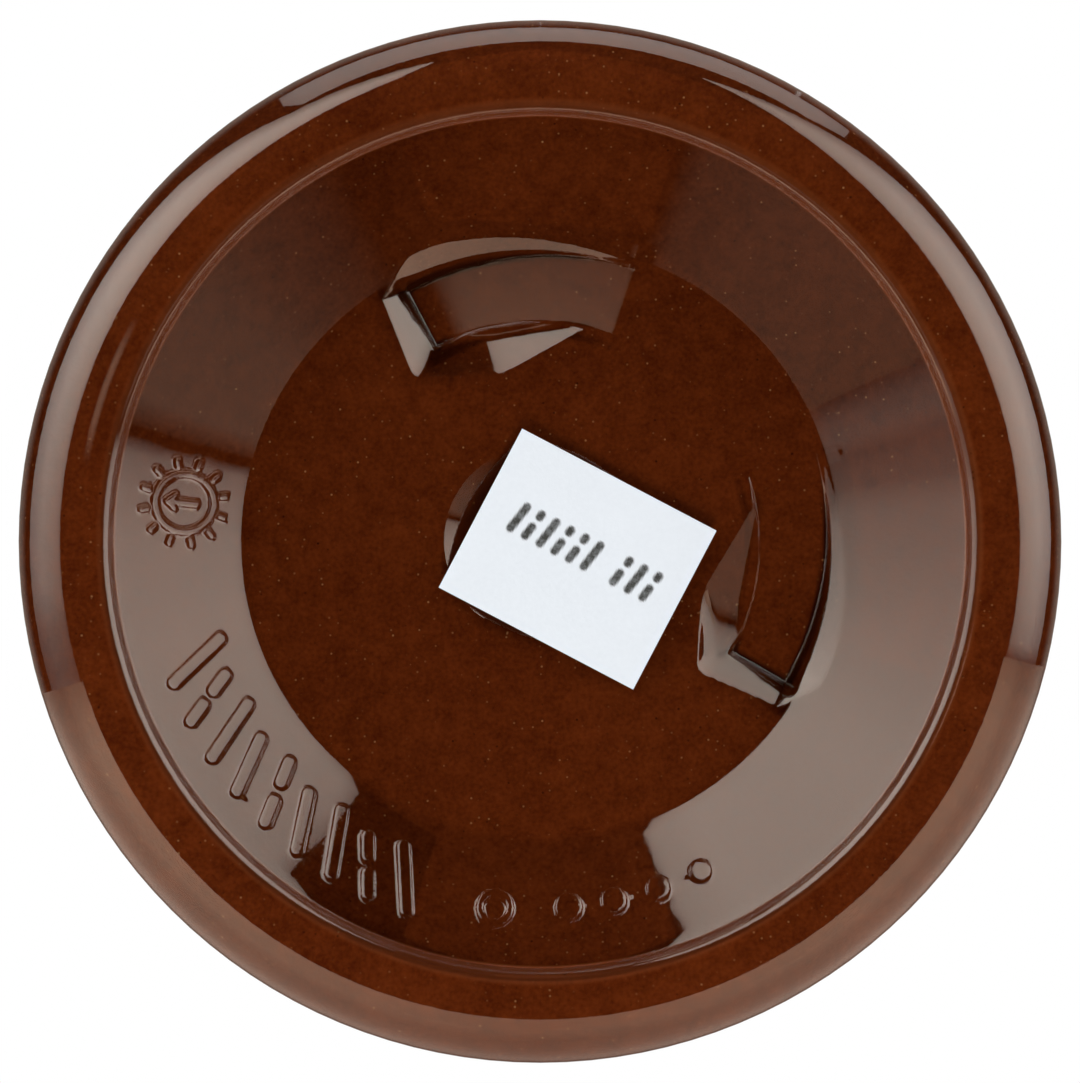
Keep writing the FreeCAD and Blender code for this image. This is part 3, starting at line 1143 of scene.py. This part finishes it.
def placeSoftboxes():
    pale = glowMaterial("softboxGlow", (1, 1, 1, 1))
    warm = glowMaterial("warmGlow", (1, 0.82, 0.68, 1))
    curvedSoftbox("leftSoftbox", [
        (-207, 48, 112, 0.1), (-202, 48, 112, 0.95), (-199, 48, 112, 1.2), (-195.5, 48, 112, 0.85),
        (-190, 48, 112, 1.3), (-185.5, 48, 112, 2.4), (-180, 48, 112, 2.8), (-170, 48, 112, 3.6),
        (-160, 48, 112, 4.5), (-150, 48, 111, 5.4), (-144, 48, 109, 5.6), (-135, 48, 104, 5.5),
        (-127, 47, 92, 5.2), (-120, 47.5, 77, 5.0), (-112, 50, 72, 4.6), (-107, 55, 70, 4.2),
        (-102.6, 66.5, 68.5, 3.4)], vignette, pale)
    curvedSoftbox("rightSoftbox", [
        (-70.6, 67, 68.5, 3.0), (-64, 61, 74, 3.4), (-58, 55, 82, 3.8), (-50, 49.5, 96, 4.1),
        (-43, 48, 107, 4.5), (-30, 48, 115, 4.9), (-15, 48, 115, 4.9), (0, 48, 114, 4.2), (8, 48, 112, 3.2),
        (12, 48, 112, 2.4), (14.5, 48, 112, 0.1)], vignette, pale)
    topGlow = [(0.0, 1.0), (0.4, 0.75), (0.6, 0.5), (1.0, 0.3)]
    curvedSoftbox("topSoftbox", [(-120.5, 98, 140, 1.4), (-118.5, 81, 146, 2.3), (-90, 87, 148, 2.5),
                                 (-58, 88, 148, 2.2), (-53, 99, 140, 1.5)], topGlow, pale)
    curvedSoftbox("leftCard", [(110, 48, 62, 0.0), (114, 48, 62, 0.28), (125, 48, 62, 0.42),
                               (155, 48, 62, 0.55), (160, 48, 62, 0.1)], evenGlow, warm)
    curvedSoftbox("rightCard", [(16, 48, 62, 0.12), (20, 48, 62, 0.85), (35, 48, 62, 0.72),
                                (45, 48, 62, 0.4), (56, 48, 62, 0.18), (62, 48, 62, 0.0)], evenGlow, warm)
    curvedSoftbox("nearCard", [(-170, 11, 23, 0.0), (-165, 11, 23, 1.4), (-156, 11, 23, 1.4),
                               (-151, 11, 23, 0.0)], softEdges, warm)
    curvedSoftbox("skyCard", [(0, 124, 176, 0.28), (180, 124, 176, 0.28), (360, 124, 176, 0.28)],
                  [(0.0, 0.0), (0.3, 1.0), (1.0, 1.0)], warm)
    tableBand(warm)


def areaLamp(name, shape, size, energy, place, hiddenFrom):
    # points at the origin
    data = bpy.data.lights.new(name, "AREA")
    data.shape = shape
    data.size = size
    data.energy = energy
    lamp = bpy.data.objects.new(name, data)
    lamp.location = place
    lamp.rotation_euler = Vector(place).to_track_quat("Z", "Y").to_euler()
    for rays in hiddenFrom:
        setattr(lamp, rays, False)
    bpy.context.scene.collection.objects.link(lamp)


def placeFloor():
    side = studio["floorSide"]
    floorData = bpy.data.meshes.new("studioFloor")
    corners = [(-side, -side, 0), (side, -side, 0), (side, side, 0), (-side, side, 0)]
    floorData.from_pydata(corners, [], [(0, 1, 2, 3)])
    floor = bpy.data.objects.new("studioFloor", floorData)
    bpy.context.scene.collection.objects.link(floor)
    material, place = newMaterial("paleFloor")
    matt = place("ShaderNodeBsdfDiffuse", {"Color": (0.80, 0.80, 0.79, 1)})
    gone = place("ShaderNodeBsdfTransparent")
    facing = place("ShaderNodeNewGeometry")
    where = place("ShaderNodeTexCoord")
    away = place("ShaderNodeVectorMath", {0: where.outputs["Object"]}, operation="LENGTH")
    fade = place("ShaderNodeMapRange", {"Value": away.outputs["Value"], "From Min": studio["floorFade"][0],
                                        "From Max": studio["floorFade"][1]}, interpolation_type="SMOOTHSTEP")
    unseen = place("ShaderNodeMath", {0: facing.outputs["Backfacing"], 1: fade.outputs[0]},
                   operation="MAXIMUM")
    both = place("ShaderNodeMixShader", {0: unseen.outputs[0], 1: matt.outputs[0], 2: gone.outputs[0]})
    place("ShaderNodeOutputMaterial", {"Surface": both.outputs[0]})
    floorData.materials.append(material)
    floor.visible_glossy = False
    floor.visible_diffuse = False
    floor.visible_shadow = False


def placeWorld():
    # white to the camera and through the clear plastic, unlit to everything else
    world = bpy.data.worlds.new("paleStudio")
    world.use_nodes = True
    world.node_tree.nodes.clear()
    place = nodeTools(world.node_tree)
    ray = place("ShaderNodeLightPath")
    seen = place("ShaderNodeMath", {0: ray.outputs["Is Camera Ray"], 1: ray.outputs["Is Transmission Ray"]},
                 operation="MAXIMUM")
    sky = place("ShaderNodeBackground", {"Color": (1, 1, 1, 1), "Strength": seen.outputs[0]})
    place("ShaderNodeOutputWorld", {"Surface": sky.outputs[0]})
    bpy.context.scene.world = world
    bpy.context.scene.view_settings.view_transform = "Standard"


def placeCamera():
    distance = studio["cameraDistance"]
    widthAcross = 2 * jar["bodyRadius"] * mm * studio["frameToJar"]
    data = bpy.data.cameras.new("cameraBelow")
    data.sensor_width = studio["sensorWidth"]
    data.lens = data.sensor_width * (distance + jar["heelRound"] * mm) / widthAcross
    data.clip_start = 0.1
    data.clip_end = 20
    camera = bpy.data.objects.new("cameraBelow", data)
    camera.location = (0, 0, -distance)
    camera.rotation_euler = (math.pi, 0, 0)
    bpy.context.scene.collection.objects.link(camera)
    bpy.context.scene.camera = camera


placeSoftboxes()
areaLamp("overheadSoftbox", "DISK", 1.2, 14.0, (0, 0, 1.3), ("visible_camera", "visible_glossy"))
areaLamp("fillBelow", "SQUARE", 0.5, 6.0, (0, 0.9, -0.8),
         ("visible_camera", "visible_glossy", "visible_transmission"))
placeFloor()
placeWorld()
placeCamera()
print("studio and camera ready")

shell = makeJarShell()
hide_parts("jar")
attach(shell, "root")
print("jar shell:", len(shell.data.polygons), "faces")

fill = makeButter()
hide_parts("butter")
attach(fill, "root")
print("butter:", len(fill.data.polygons), "faces")

cap = makeLid()
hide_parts("lid")
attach(cap, "root")
print("lid:", len(cap.data.polygons), "faces")

label = makeSticker()
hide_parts("sticker")
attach(label, "root")
print("sticker:", len(label.data.polygons), "faces")
